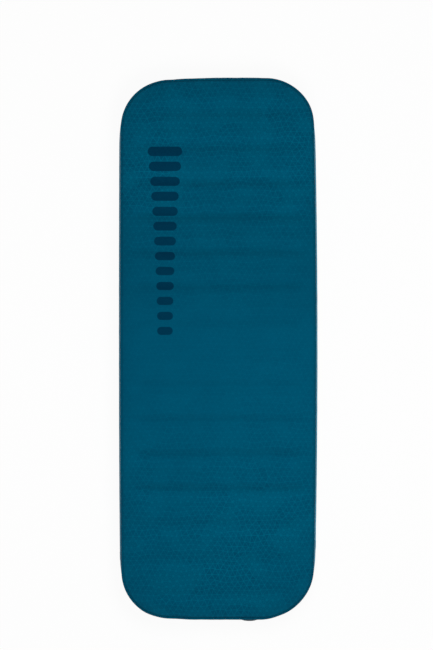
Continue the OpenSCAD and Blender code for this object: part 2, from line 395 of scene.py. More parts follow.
# %% Smooth the cloth and meet the valve
def on_seam(edge):
    a, b = edge.verts
    return all(
        abs(set_in(v.co.x, v.co.y)) < 0.0002 and min(v.co.z, abs(v.co.z - seam_z)) < 0.0006
        for v in (a, b)
    )


seam_edges = select_edges(skin, on_seam)
bpy.ops.transform.edge_crease(value=1.0)
leave_edit()
smoother = skin.modifiers.new("smooth", "SUBSURF")
smoother.levels = 1
smoother.render_levels = 1
apply_all(skin)

valve_reach = 0.040
valve_blend = 0.085
for vertex in skin.data.vertices:
    x, y, z = vertex.co
    if y < -seam_y + 0.002 and 0.0002 < z < seam_z - 0.0002:
        share = 1 - smooth_step(valve_reach, valve_blend, abs(x - valve_x))
        target = -seam_y - wall_arc(z)
        vertex.co.y += (target - y) * share
print("seam edges:", seam_edges, "cells after smoothing:", len(skin.data.polygons))

# %% [markdown]
# ## Ripples and the weld
#
# The foam inside is cut away in rows, so the sheet over it sinks into shallow ripples that cross
# the pad. They are soft, slightly uneven and die out before the edge. Between two of them lies a
# fainter one. Near the seam the sheet is pressed flat by the weld and dips just inside it.
#
# These are moves of single points, made after the simulation, because a cloth solver would need
# far smaller cells to find them.

# %% Sculpt the ripples
main_depth = 0.0056
faint_depth = 0.0014
ripple_width = 0.0212
weld_dip = 0.0024


def wander(x, y, scale, offset):
    return noise.noise(Vector((x * scale + offset, y * scale, offset * 1.7)))


def ripple(x, y):
    """Depth of the ripples at a point, in metres."""
    y = y + 0.004 * wander(x, y, 5.0, 3.1) + 0.0015 * wander(x, y, 17.0, 8.2)
    turns = (y - ripple_shift) / ripple_pitch
    to_main = (turns - round(turns)) * ripple_pitch
    half = turns - 0.5
    to_faint = (half - round(half)) * ripple_pitch
    main = math.exp(-((to_main / ripple_width) ** 2))
    faint = math.exp(-((to_faint / (1.3 * ripple_width)) ** 2))
    strength = 0.85 + 0.35 * wander(x, y, 3.2, 5.5)
    strength *= 1.65 - 0.85 * smooth_step(0.50, 0.62, y) - 0.35 * smooth_step(0.66, 0.82, y)
    strength *= 1 - 0.74 * smooth_step(-0.48, -0.58, y) - 0.12 * smooth_step(-0.58, -0.70, y)
    strength *= 1 - 0.50 * smooth_step(0.20, 0.08, y) * smooth_step(-0.10, -0.04, y)
    return strength * (main_depth * main + faint_depth * faint)


def pucker(x, y, z):
    """Small gathers where the wall leaves a seam. They die out half way up and near the valve."""
    gather = noise.noise(Vector((x * 26.0, y * 26.0, 4.0)))
    gather += 0.5 * noise.noise(Vector((x * 60.0, y * 60.0, 9.0)))
    from_rim = min(z, seam_z - z)
    near_seam = math.sin(math.pi * from_rim / seam_z) * math.exp(-from_rim / 0.016)
    clear = smooth_step(0.05, 0.10, math.hypot(x - valve_x, y + seam_y))
    return 0.0032 * gather * near_seam * clear


for vertex in skin.data.vertices:
    x, y, z = vertex.co
    inside = set_in(x, y)
    if inside < 0.0004:
        if 0.0005 < z < seam_z - 0.0005:
            core = core_of(x, y, z)
            vertex.co += (vertex.co - core).normalized() * pucker(x, y, z)
        continue
    fade = smooth_step(0.010, 0.075, inside)
    at_end = smooth_step(arc_x, seam_x, abs(x)) if abs(y) < arc_y else 0.0
    dip = weld_dip * math.exp(-(((inside - 0.0045) / 0.0034) ** 2)) * (1 - 0.6 * at_end)
    slack = 0.0006 * wander(x, y, 9.0, 1.3) * smooth_step(0.004, 0.03, inside)
    if z > seam_z / 2:
        vertex.co.z += slack - fade * ripple(x, y) - dip
    else:
        vertex.co.z += 0.45 * fade * ripple(x, y + ripple_pitch / 2) + 0.5 * dip + abs(slack)

# %% [markdown]
# A real pad is never a perfect oblong. The long sides draw in a little towards both ends, one
# more than the other, and the ends are slightly crowned. The whole skin shares this shape, so
# it is given before the skin is cut into its panels.

# %% Give the outline its hand-made shape
def draw_in(x, y):
    """The outline's small pull, as a move in x and y."""
    along = min(abs(y), 0.74) / 0.70
    ease = 1 - 0.75 * smooth_step(0.72, 0.84, abs(y))
    if x > 0:
        pull = 0.0068 * along**2 * (ease if y > 0 else 1.0)
    else:
        pull = (0.0010 if y > 0 else 0.0032) * along**2 * ease
    move_x = -math.copysign(pull * smooth_step(0.12, 0.30, abs(x)), x)
    if y > 0:
        crown = min(0.0062 * (min(x - 0.05, 0) / 0.22) ** 2, 0.0055)
        crown *= 1 - 0.5 * smooth_step(-0.20, -0.30, x)
    elif x > 0:
        crown = 0.0060 * smooth_step(0.145, 0.215, x)
    else:
        crown = 0.0030 * smooth_step(-0.08, -0.17, x) - 0.0030 * smooth_step(-0.20, -0.26, x)
    move_y = -math.copysign(crown * smooth_step(0.60, 0.86, abs(y)), y)
    return move_x, move_y


from_seam = skin.data.attributes.new("from_seam", "FLOAT", "POINT")
for vertex in skin.data.vertices:
    from_seam.data[vertex.index].value = set_in(vertex.co.x, vertex.co.y)
    move_x, move_y = draw_in(vertex.co.x, vertex.co.y)
    vertex.co.x += move_x
    vertex.co.y += move_y
skin.data.update()

# %% [markdown]
# ## From one skin to its panels
#
# On the real pad the top, the base and two wall strips are cut and welded separately. The skin is
# split along the same lines, so that each panel is a piece with its own fabric and thickness. A
# copy of the seam loop is kept first: it becomes the raised weld.

# %% Cut the skin into panels
def loop_piece(name, sheet_index):
    """The loop of edges where a sheet meets the wall, as a piece of its own."""
    twin = copy_of(skin, name)
    select_edges(
        twin,
        lambda edge: {face.material_index for face in edge.link_faces} != {WALL, sheet_index},
    )
    bpy.ops.mesh.delete(type="EDGE")
    leave_edit()
    return twin


top_line = loop_piece("weld_top", TOP)
base_line = loop_piece("weld_base", BASE)
print("weld loops:", len(top_line.data.vertices), len(base_line.data.vertices))

foam = copy_of(skin, "foam_block")
skin_surface = BVHTree.FromObject(skin, bpy.context.evaluated_depsgraph_get())
select_faces(skin, lambda face: face.material_index == BASE)
base_panel = split_off(skin, "base_panel")
select_faces(skin, lambda face: face.material_index == WALL)
wall_ring = split_off(skin, "wall_ring")
top_panel = skin
top_panel.name = "top_panel"
for piece in (top_panel, base_panel, wall_ring):
    piece.data.materials.clear()
print("panels:", [(p.name, len(p.data.polygons)) for p in (top_panel, base_panel, wall_ring)])

# %% [markdown]
# The wall is made of two strips. They meet at a join on each long side, one slightly further from
# the foot than the other, and a tape is welded over each join. Bisect cuts the ring cleanly where
# the joins lie. Each tape is a copy of the ring with all but 24 mm of it deleted.

# %% Cut the wall at its joins and copy the tapes
tape_half = 0.012


def cut_at(obj, y):
    edit_all(obj)
    bpy.ops.mesh.bisect(plane_co=(0, y, 0), plane_no=(0, 1, 0))
    leave_edit()


for join_y in (join_left_y, join_right_y):
    cut_at(wall_ring, join_y)
    cut_at(wall_ring, join_y - tape_half)
    cut_at(wall_ring, join_y + tape_half)

tapes = []
tape_places = (("join_tape_left", -1, join_left_y), ("join_tape_right", 1, join_right_y))
for tape_name, side, join_y in tape_places:
    tape = copy_of(wall_ring, tape_name)
    select_faces(
        tape,
        lambda face: not (
            side * face.calc_center_median().x > 0
            and abs(face.calc_center_median().y - join_y) < tape_half
        ),
    )
    bpy.ops.mesh.delete(type="FACE")
    leave_edit()
    tapes.append(tape)
print("tapes:", [len(tape.data.polygons) for tape in tapes])

# %% [markdown]
# A wall strip has a hem along each long edge. It turns in under the sheet, and the weld runs
# through both. The ring's two rims are extruded inwards in narrow steps, and each new point takes
# its height from the skin above it, a sheet's thickness lower. Then the strips are separated.

# %% Turn the hems and separate the strips
rim_gap = 0.0007
hem_steps = (0.0025, 0.0045, 0.0068, 0.0100)

for vertex in wall_ring.data.vertices:
    if vertex.co.z > seam_z - 0.0004:
        vertex.co.z -= rim_gap
    elif vertex.co.z < 0.0004:
        vertex.co.z += rim_gap

select_edges(wall_ring, lambda edge: edge.is_boundary)
done = 0.0
for reach in hem_steps:
    bpy.ops.mesh.extrude_edges_move()
    shape = bmesh.from_edit_mesh(wall_ring.data)
    for vertex in shape.verts:
        if vertex.select:
            x, y, z = vertex.co
            core = core_of(x, y, z)
            vertex.co -= (vertex.co - core).normalized() * (reach - done)
            side = 1 if z > seam_z / 2 else -1
            below = Vector((vertex.co.x, vertex.co.y, wall_half))
            met = skin_surface.ray_cast(below, Vector((0, 0, side)))[0]
            vertex.co.z = met.z - side * rim_gap
    bmesh.update_edit_mesh(wall_ring.data)
    done = reach
leave_edit()


def in_foot_strip(face):
    centre = face.calc_center_median()
    return centre.y < (join_left_y if centre.x < 0 else join_right_y)


select_faces(wall_ring, in_foot_strip)
wall_foot = split_off(wall_ring, "wall_foot")
wall_head = wall_ring
wall_head.name = "wall_head"
print("strips:", len(wall_head.data.polygons), len(wall_foot.data.polygons))

# %% [markdown]
# Cloth has a thickness, and Solidify gives it inwards, so the outer face stays true. The tape is
# thickened outwards, on top of the wall.

# %% Give every panel its thickness
def thicken(obj, thickness, offset):
    solid = obj.modifiers.new("thickness", "SOLIDIFY")
    solid.thickness = thickness
    solid.offset = offset
    solid.use_even_offset = False
    apply_all(obj)


for tape in tapes:
    for vertex in tape.data.vertices:
        vertex.co.x += math.copysign(0.00012, vertex.co.x)
        vertex.co.z = min(max(vertex.co.z, 0.0016), seam_z - 0.0016)
    thicken(tape, 0.0005, 1)
for panel in (top_panel, base_panel, wall_head, wall_foot):
    thicken(panel, sheet_t, -1)
print("thick strips:", len(wall_head.data.polygons), len(wall_foot.data.polygons))

# %% [markdown]
# The valve goes through the wall. A cylinder set through the hole of the real strip cuts the
# cloth, now that the cloth is a closed solid.

# %% Cut the valve opening
hole_r = 0.0243
cut_away(wall_foot, valve_rod(96, hole_r, 0.05, -seam_y))
print("foot strip with its opening:", len(wall_foot.data.polygons))

# %% [markdown]
# The weld stands up as a thin cord of melted fabric where sheet and wall meet. A curve made from
# the kept seam loop gives it: the bevel of the curve is the cord's thickness.

# %% Raise the weld seams
weld_r = 0.0009
welds = []
for line, lift in ((top_line, 0.0002), (base_line, 0.0009)):
    name = line.name
    line.data.materials.clear()
    for vertex in line.data.vertices:
        vertex.co.z += lift
    pick(line)
    bpy.ops.object.convert(target="CURVE")
    cord = bpy.context.object
    cord.data.bevel_depth = weld_r
    cord.data.bevel_resolution = 1
    bpy.ops.object.convert(target="MESH")
    cord = bpy.context.object
    cord.name = name
    bpy.ops.object.shade_smooth()
    welds.append(cord)
print("weld cords:", [len(w.data.polygons) for w in welds])

# %% [markdown]
# ## The foam
#
# The foam is a slab cut to the pad's outline and glued to both sheets, so it follows their
# ripples. It starts as the copy of the skin kept earlier. The swollen wall is deleted, the two
# faces are drawn in to the foam's own outline, and each point takes its height from the skin
# straight over it, less the thickness of the sheet. Bridging the faces again gives straight cut
# sides.

# %% Make the foam slab
foam_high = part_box("foam_core")[1]
foam_share = 1 - (seam_x - foam_high.x) / corner
glue_gap = sheet_t + 0.0005

select_faces(foam, lambda face: face.material_index == WALL)
bpy.ops.mesh.delete(type="FACE")
leave_edit()
foam.data.materials.clear()
for vertex in foam.data.vertices:
    x, y, z = vertex.co
    core = core_of(x, y, z)
    vertex.co = core + (vertex.co - core) * foam_share
    side = 1 if z > seam_z / 2 else -1
    above = Vector((vertex.co.x, vertex.co.y, wall_half + side))
    met = skin_surface.ray_cast(above, Vector((0, 0, -side)))[0]
    vertex.co.z = met.z - side * glue_gap
select_edges(foam, lambda edge: edge.is_boundary)
bpy.ops.mesh.bridge_edge_loops(number_cuts=3, interpolation="LINEAR")
bpy.ops.mesh.select_all(action="SELECT")
bpy.ops.mesh.normals_make_consistent(inside=False)
leave_edit()
print("foam slab:", len(foam.data.polygons))

# %% [markdown]
# Rows of wedge-shaped channels run across the slab, every second one upside down. They make the
# pad lighter and let it roll up small, and the sheets sink a little over their wide sides. One
# wedge is modelled from a cube, its top narrowed, and copied along the pad. The copies are joined
# and cut away in one go, together with the pocket that keeps the foam clear of the valve.

# %% Cut the channels and the valve pocket
channel_rows = 7
channel_pitch = 0.1156
channel_shift = -0.012
channel_base = 0.064
channel_tip = 0.008
channel_skin = 0.018
pocket_r = 0.0202
pocket_depth = 0.06
pocket_gap = 0.003
channel_low = sheet_t + channel_skin
channel_high = foam_high.z - channel_skin
channel_mid = (channel_low + channel_high) / 2

bpy.ops.object.select_all(action="DESELECT")
bpy.ops.mesh.primitive_cube_add(size=1)
wedge = bpy.context.object
edit_all(wedge)
bpy.ops.transform.resize(value=(0.8, channel_base, channel_high - channel_low))
leave_edit()
select_faces(wedge, lambda face: face.normal.z > 0.9)
bpy.ops.transform.resize(value=(1, channel_tip / channel_base, 1))
leave_edit()

cutters = []
for half_steps in range(-2 * channel_rows, 2 * channel_rows + 1):
    cutter = copy_of(wedge, "channel")
    if half_steps % 2 == 0:
        cutter.data.transform(Matrix.Rotation(math.pi, 4, "X"))
    row_y = channel_shift + half_steps * channel_pitch / 2
    cutter.data.transform(Matrix.Translation((0, row_y, channel_mid)))
    cutters.append(cutter)
bpy.data.objects.remove(wedge)

pocket = valve_rod(48, pocket_r, pocket_depth, hatch_high.y + pocket_gap - pocket_depth / 2)
bpy.ops.object.transform_apply(location=True, rotation=True, scale=True)
for cutter in cutters:
    cutter.select_set(True)
bpy.ops.object.join()
cut_away(foam, pocket)
print("carved foam:", len(foam.data.polygons), "channels:", len(cutters))

for piece in (top_panel, base_panel, wall_head, wall_foot, foam, *tapes):
    pick(piece)
    bpy.ops.object.shade_smooth_by_angle(angle=math.radians(50))

# %% [markdown]
# ## The valve's edges
#
# Moulded plastic never has a razor edge. The valve's hard pieces have the right shape in the solid
# model, but their edges are sharp. Each one is copied, and its triangles with no area are cleared.
# Then its loose triangles are merged into faces, and a small bevel rounds every sharp edge, so that
# it catches the light. The grille's faces have eight windows each and would fold over themselves
# when their edges move, so four planes through the valve's axis cut it first, and its faces end at
# the cuts. The print says how far each new surface lies from its solid, which should be less than
# the width of its bevel.

# %% Round the edges of the moulded pieces
valve_axis = (valve_x, 0.0, valve_z)
first_cut = 22.5
sliver = 0.00001


def rounded(node, width, cut_planes):
    source = frame["nodes"][node]
    piece = bpy.data.objects.new(node + "_rounded", source.data.copy())
    bpy.context.scene.collection.objects.link(piece)
    pick(piece)
    bpy.ops.mesh.customdata_custom_splitnormals_clear()
    edit_all(piece)
    bpy.ops.mesh.remove_doubles(threshold=0.000002)
    bpy.ops.mesh.dissolve_degenerate(threshold=sliver)
    for turn in range(cut_planes):
        angle = math.radians(first_cut + turn * 180 / cut_planes)
        across = (math.cos(angle), 0, math.sin(angle))
        bpy.ops.mesh.select_all(action="SELECT")
        bpy.ops.mesh.bisect(plane_co=valve_axis, plane_no=across, threshold=0.0001)
        bpy.ops.mesh.mark_seam()
    bpy.ops.mesh.select_all(action="SELECT")
    bpy.ops.mesh.dissolve_degenerate(threshold=sliver)
    bpy.ops.mesh.dissolve_limited(angle_limit=math.radians(0.5), delimit={"SEAM"})
    leave_edit()
    bevel = piece.modifiers.new("bevel", "BEVEL")
    bevel.width = width
    bevel.segments = 2
    bevel.limit_method = "ANGLE"
    bevel.angle_limit = math.radians(32)
    bevel.use_clamp_overlap = False
    apply_all(piece)
    bpy.ops.object.shade_smooth_by_angle(angle=math.radians(40))
    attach(piece, source["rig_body"])
    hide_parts(node)
    return piece


moulded_nodes = {
    "valve_socket": (0.00020, 0),
    "insert_ring": (0.00010, 0),
    "valve_cap": (0.00020, 0),
    "insert_grille": (0.00015, 4),
    "flap_button": (0.00020, 0),
}
rounded_pieces = [rounded(node, *how) for node, how in moulded_nodes.items()]
for piece, node in zip(rounded_pieces, moulded_nodes):
    solid_shape = bmesh.new()
    solid_shape.from_mesh(frame["nodes"][node].data)
    solid_surface = BVHTree.FromBMesh(solid_shape)
    shape = bmesh.new()
    shape.from_mesh(piece.data)
    loose = sum(1 for edge in shape.edges if not edge.is_manifold)
    corners = bmesh.ops.triangulate(shape, faces=shape.faces)["faces"]
    strays = max(solid_surface.find_nearest(face.calc_center_median())[3] for face in corners)
    print(piece.name, "triangles:", len(corners), "open edges:", loose)
    print("    strays from its solid by", round(strays * 1000, 3), "mm")
    shape.free()
    solid_shape.free()

# %% [markdown]
# ## Which piece stands for which part
#
# Each piece rides on the body it belongs to and hides the plain solid it stands for.

# %% Tie the pieces to the frame
for piece, node in (
    (top_panel, "top_sheet"),
    (base_panel, "base_sheet"),
    (wall_head, "side_wall_head"),
    (wall_foot, "side_wall_foot"),
    (foam, "foam_core"),
    (tapes[0], "wall_join_tape_left"),
    (tapes[1], "wall_join_tape_right"),
):
    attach(piece, "pad")
    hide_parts(node)
for cord in welds:
    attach(cord, "pad")

# %% [markdown]
# ## Finishes
#
# Each finish is built from nodes. Effects that several finishes share are node groups with named
# inputs and outputs. A helper adds a node, fills its inputs and returns it.

# %% Node helpers
def add(tree, kind, settings=None, **inputs):
    made = tree.nodes.new("ShaderNode" + kind)
    for name, value in (settings or {}).items():
        setattr(made, name, value)
    for name, value in inputs.items():
        key = int(name[1:]) if name[0] == "i" and name[1:].isdigit() else name.replace("_", " ")
        socket = made.inputs[key]
        if isinstance(value, bpy.types.NodeSocket):
            tree.links.new(value, socket)
        else:
            socket.default_value = value
    return made


def calc(tree, operation, a, b=0.0, c=0.0):
    return add(tree, "Math", {"operation": operation}, i0=a, i1=b, i2=c).outputs[0]


def times(tree, a, b):
    return calc(tree, "MULTIPLY", a, b)


def plus(tree, a, b):
    return calc(tree, "ADD", a, b)


def minus(tree, a, b):
    return calc(tree, "SUBTRACT", a, b)


def times_plus(tree, a, b, c):
    return calc(tree, "MULTIPLY_ADD", a, b, c)


def noise_in(tree, place, scale, detail):
    made = add(tree, "TexNoise", None, Vector=place, Scale=scale, Detail=detail)
    return made.outputs["Fac"]


def on_vectors(tree, operation, a, b=(0.0, 0.0, 0.0)):
    return add(tree, "VectorMath", {"operation": operation}, i0=a, i1=b).outputs


def scaled(tree, vector, by):
    made = add(tree, "VectorMath", {"operation": "SCALE"}, i0=vector, Scale=by)
    return made.outputs[0]


def split(tree, vector):
    return add(tree, "SeparateXYZ", None, i0=vector).outputs


def ramp(tree, value, low, high):
    """0 below one value, 1 above another, smooth between."""
    return add(
        tree, "MapRange", {"interpolation_type": "SMOOTHSTEP"},
        i0=value, i1=low, i2=high, i3=0.0, i4=1.0,
    ).outputs[0]


def fall(tree, value, low, high):
    """1 below one value, 0 above another, smooth between."""
    return minus(tree, 1.0, ramp(tree, value, low, high))


def of_three(tree, operation, a, b, c):
    """The least or the most of three values."""
    return calc(tree, operation, calc(tree, operation, a, b), c)


def plain_rays(tree):
    """1 for rays from the camera, from reflections and through clear materials."""
    rays = add(tree, "LightPath").outputs
    kinds = [rays["Is %s Ray" % kind] for kind in ("Camera", "Glossy", "Transmission")]
    return of_three(tree, "MAXIMUM", *kinds)


def blend(tree, share, a, b):
    return add(tree, "Mix", {"data_type": "RGBA"}, i0=share, i6=a, i7=b).outputs[2]


def group(name, inputs, outputs):
    tree = bpy.data.node_groups.new(name, "ShaderNodeTree")
    for socket, kind, value in inputs:
        made = tree.interface.new_socket(name=socket, in_out="INPUT", socket_type="NodeSocket" + kind)
        if value is not None:
            made.default_value = value
    for socket, kind in outputs:
        tree.interface.new_socket(name=socket, in_out="OUTPUT", socket_type="NodeSocket" + kind)
    print("group:", name)
    return tree, tree.nodes.new("NodeGroupInput").outputs, tree.nodes.new("NodeGroupOutput").inputs


def use(tree, shared, **inputs):
    return add(tree, "Group", {"node_tree": shared}, **inputs).outputs


# %% [markdown]
# Cloth seen close is a weave: threads that pass over and under each other. Two crossed sine waves
# give that height field. A little noise in the thread width keeps it from looking machined.

# %% Shared group: weave
weave, gi, go = group(
    "Weave",
    [("Vector", "Vector", None), ("Threads", "Float", 1200.0), ("Slub", "Float", 0.3)],
    [("Height", "Float"), ("Shade", "Float")],
)
fuzz = noise_in(weave, gi["Vector"], 260.0, 2.0)
parts = split(weave, gi["Vector"])
turn = times(weave, gi["Threads"], 2 * math.pi)
warp_wave = calc(weave, "SINE", times(weave, plus(weave, parts[0], parts[2]), turn))
weft_wave = calc(weave, "SINE", times(weave, minus(weave, parts[1], parts[2]), turn))
cross = times_plus(weave, times(weave, warp_wave, weft_wave), 0.5, 0.5)
uneven = times(weave, minus(weave, fuzz, 0.5), gi["Slub"])
height = plus(weave, cross, uneven)
weave.links.new(height, go["Height"])
# The shade follows the height. The low parts of the weave, where one thread passes under another, are
# painted up to 16 % darker as painted shade. The noise in the thread width adds a real random tone.
weave.links.new(times_plus(weave, height, 0.16, 0.92), go["Shade"])

# %% [markdown]
# A pad is carried, rolled and slept on. Use leaves broad, faint changes of colour and smaller
# rubbed marks. Two noises of different size give both, as factors near one.

# %% Shared group: handling
handling, gi, go = group(
    "Handling",
    [
        ("Vector", "Vector", None),
        ("Broad", "Float", 6.0),
        ("Small", "Float", 60.0),
        ("Amount", "Float", 0.1),
    ],
    [("Shade", "Float"), ("Rub", "Float")],
)
broad = noise_in(handling, gi["Vector"], gi["Broad"], 3.0)
small = noise_in(handling, gi["Vector"], gi["Small"], 4.0)
mixed = plus(handling, minus(handling, broad, 0.5), times(handling, minus(handling, small, 0.5), 0.5))
handling.links.new(times_plus(handling, mixed, gi["Amount"], 1.0), go["Shade"])
handling.links.new(ramp(handling, small, 0.52, 0.75), go["Rub"])

# %% [markdown]
# Fingers and ground rub the round rims of the valve paler. Every moulded piece turns about the
# valve's axis, so a point's distance from that axis says how near it is to the rim. Noise breaks
# the worn ring up.

# %% Shared group: rim wear
rim_wear, gi, go = group(
    "Rim wear",
    [("Vector", "Vector", None), ("Radius", "Float", 0.02), ("Width", "Float", 0.0012)],
    [("Worn", "Float")],
)
flecks = noise_in(rim_wear, gi["Vector"], 420.0, 4.0)
from_axis = on_vectors(rim_wear, "SUBTRACT", gi["Vector"], valve_axis)[0]
across_axis = on_vectors(rim_wear, "MULTIPLY", from_axis, (1.0, 0.0, 1.0))[0]
radius_here = on_vectors(rim_wear, "LENGTH", across_axis)["Value"]
off_rim = calc(rim_wear, "ABSOLUTE", minus(rim_wear, radius_here, gi["Radius"]))
near_rim = fall(rim_wear, off_rim, 0.0, gi["Width"])
worn = times(rim_wear, near_rim, ramp(rim_wear, flecks, 0.38, 0.62))
rim_wear.links.new(worn, go["Worn"])

# %% [markdown]
# A heated bar presses sheet and wall together along the seam. It leaves a band that is smoother
# and a shade darker than the cloth, with the bar's fine diagonal ribs in it.

# %% Shared group: seal band
seal_band, gi, go = group(
    "Seal band",
    [("Vector", "Vector", None), ("Distance", "Float", 0.1), ("Width", "Float", 0.01)],
    [("Band", "Float"), ("Shade", "Float"), ("Ribs", "Float")],
)
edge = minus(seal_band, gi["Distance"], gi["Width"])
band = fall(seal_band, edge, -0.0006, 0.0006)
slope = on_vectors(seal_band, "DOT_PRODUCT", gi["Vector"], (1.0, 1.0, 1.0))["Value"]
rib = times_plus(seal_band, calc(seal_band, "SINE", times(seal_band, slope, 2600.0)), 0.5, 0.5)
seal_band.links.new(band, go["Band"])
seal_band.links.new(times_plus(seal_band, band, -0.12, 1.0), go["Shade"])
seal_band.links.new(times(seal_band, band, rib), go["Ribs"])

# %% [markdown]
# The top is printed with a fine net of triangles. Three sets of parallel lines, turned by 60
# degrees from one another, make it. The lines are lighter than the cloth, the knots where they
# meet are lighter still, and each triangle has its own faint tone. A slow bend of the coordinates
# makes the net uneven, like a hand-drawn one.

# %% Shared group: triangle net
net, gi, go = group(
    "Triangle net",
    [
        ("Vector", "Vector", None),
        ("Side", "Float", 0.019),
        ("Line", "Float", 0.0007),
        ("Bend", "Float", 0.034),
    ],
    [("Lines", "Float"), ("Knots", "Float"), ("Tone", "Float")],
)
drifting = add(net, "TexNoise", None, Vector=gi["Vector"], Scale=13.0, Detail=1.5)
drift = drifting.outputs["Color"]
centred = on_vectors(net, "SUBTRACT", drift, (0.5, 0.5, 0.5))[0]
pushed = scaled(net, centred, gi["Bend"])
place = on_vectors(net, "ADD", gi["Vector"], pushed)[0]
row_height = times(net, gi["Side"], math.sqrt(3) / 2)


def line_rows(turn_deg, spacing):
    """Rows of parallel lines: which row a point is in, and how far it is from a line."""
    direction = (math.cos(math.radians(turn_deg)), math.sin(math.radians(turn_deg)), 0)
    along = on_vectors(net, "DOT_PRODUCT", place, direction)["Value"]
    rows = calc(net, "DIVIDE", along, spacing)
    off = calc(net, "ABSOLUTE", minus(net, rows, calc(net, "ROUND", rows)))
    return calc(net, "FLOOR", rows), times(net, off, spacing)


floors, nearest = zip(*[line_rows(turn_deg, row_height) for turn_deg in (90, 210, 330)])
braces = [line_rows(turn_deg, times(net, gi["Side"], 0.5))[1] for turn_deg in (0, 120, 240)]
brace = of_three(net, "MINIMUM", *braces)
closest = of_three(net, "MINIMUM", *nearest)
furthest = of_three(net, "MAXIMUM", *nearest)
line_edge = times(net, gi["Line"], 1.6)
line_mask = fall(net, closest, times(net, gi["Line"], 0.5), line_edge)
brace_mask = fall(net, brace, times(net, gi["Line"], 0.3), line_edge)
some = noise_in(net, gi["Vector"], 11.0, 0.0)
brace_mask = times(net, brace_mask, times(net, ramp(net, some, 0.45, 0.62), 0.7))
line_mask = calc(net, "MAXIMUM", line_mask, brace_mask)
knot_mask = fall(net, furthest, gi["Line"], times(net, gi["Line"], 3.5))
cell_id = add(net, "CombineXYZ", None, i0=floors[0], i1=floors[1], i2=floors[2]).outputs[0]
tone = add(net, "TexWhiteNoise", {"noise_dimensions": "3D"}, Vector=cell_id).outputs["Value"]
net.links.new(line_mask, go["Lines"])
net.links.new(knot_mask, go["Knots"])
net.links.new(tone, go["Tone"])

# %% [markdown]
# A plain motif is printed near the head in dark ink: a column of round-ended bars, long at the
# head and shorter towards the foot. It says nothing and belongs to nobody.

# %% Shared group: ink bars
bars, gi, go = group(
    "Ink bars",
    [
        ("Vector", "Vector", None),
        ("Pitch", "Float", 0.050),
        ("Count", "Float", 13.0),
        ("Long", "Float", 0.062),
        ("Short", "Float", 0.026),
    ],
    [("Ink", "Float")],
)
parts = split(bars, gi["Vector"])
steps = calc(bars, "DIVIDE", parts[1], gi["Pitch"])
index = calc(bars, "FLOOR", steps)
middle = minus(bars, minus(bars, steps, index), 0.5)
across = times(bars, middle, gi["Pitch"])
share = calc(bars, "POWER", calc(bars, "DIVIDE", index, gi["Count"]), 1.6)
half_long = times_plus(bars, minus(bars, gi["Long"], gi["Short"]), share, gi["Short"])
half_high = times(bars, gi["Pitch"], times_plus(bars, share, 0.06, 0.27))
over_x = minus(bars, calc(bars, "ABSOLUTE", parts[0]), minus(bars, half_long, half_high))
reach_x = calc(bars, "MAXIMUM", over_x, 0.0)
from_core = calc(bars, "SQRT", times_plus(bars, reach_x, reach_x, times(bars, across, across)))
bar = fall(bars, minus(bars, from_core, half_high), -0.0004, 0.0004)
above = calc(bars, "GREATER_THAN", index, -0.5)
below = calc(bars, "LESS_THAN", index, minus(bars, gi["Count"], 0.5))
bars.links.new(times(bars, bar, times(bars, above, below)), go["Ink"])

# %% [markdown]
# A finish is a plain material with one Principled shader. Values that are the same all over are
# set on the shader itself. Only what changes over the surface comes in through nodes.

# %% Start of every finish
def finish(name, **constants):
    material = bpy.data.materials.new(name)
    material.use_nodes = True
    tree = material.node_tree
    shader = tree.nodes["Principled BSDF"]
    for key, value in constants.items():
        shader.inputs[key.replace("_", " ")].default_value = value
    place = add(tree, "TexCoord").outputs["Object"]
    return material, tree, shader, place


def relief(tree, shader, height, strength, distance):
    bump = add(tree, "Bump", None, Height=height, Strength=strength, Distance=distance)
    tree.links.new(bump.outputs[0], shader.inputs["Normal"])


def paint(tree, shader, colour, shade):
    tree.links.new(scaled(tree, colour, shade), shader.inputs["Base Color"])


def wear(material, *pieces):
    for piece in pieces:
        piece.data.materials.clear()
        piece.data.materials.append(material)


# %% [markdown]
# The top cloth is a teal stretch knit with a soft sheen. Its print fades in the middle of the pad
# and is clearer towards both ends.

# %% Top fabric
teal = (0.0, 0.0825, 0.1560, 1)
teal_light = (0.0, 0.122, 0.208, 1)
teal_dark = (0.0, 0.068, 0.132, 1)
ink_colour = (0.0, 0.024, 0.060, 1)
top_fabric, tree, shader, place = finish(
    "top_fabric_teal_knit",
    Sheen_Weight=0.08, Sheen_Roughness=0.4, Sheen_Tint=(0.0, 0.70, 1.0, 1),
    Specular_IOR_Level=0.14, Specular_Tint=(0.02, 0.6, 0.9, 1),
)
lattice = use(tree, net, Vector=place)
cloth = use(tree, weave, Vector=place, Threads=900.0)
use_marks = use(tree, handling, Vector=place, Broad=5.0, Small=45.0, Amount=0.10)
parts = split(tree, place)
to_end = ramp(tree, calc(tree, "ABSOLUTE", parts[1]), 0.10, 0.62)
patchy = noise_in(tree, place, 4.5, 1.0)
print_strength = times(tree, times_plus(tree, to_end, 0.65, 0.35), times_plus(tree, patchy, 1.2, 0.4))
toned = times(tree, lattice["Tone"], times(tree, print_strength, 0.8))
ground = blend(tree, toned, teal, teal_dark)
line_share = times(tree, lattice["Lines"], times(tree, print_strength, 0.75))
knot_share = times(tree, lattice["Knots"], times(tree, print_strength, 0.6))
lined = blend(tree, line_share, ground, teal_light)
knotted = blend(tree, knot_share, lined, teal_light)
mark_place = add(
    tree, "Mapping", {"vector_type": "TEXTURE"}, Vector=place, Location=(-0.178, 0.035, 0)
).outputs[0]
ink = use(tree, bars, Vector=mark_place)["Ink"]
inked = blend(tree, times(tree, ink, 0.9), knotted, ink_colour)
shade = times(tree, cloth["Shade"], use_marks["Shade"])
inset = add(tree, "Attribute", {"attribute_name": "from_seam"}).outputs["Fac"]
sealed = use(tree, seal_band, Vector=place, Distance=inset, Width=0.008)
# Painted shade: the top cloth is painted up to 8.5 % darker in a broad band between the middle and
# the head.
painted_broad_shade = minus(tree, ramp(tree, parts[1], 0.02, 0.20), ramp(tree, parts[1], 0.36, 0.66))
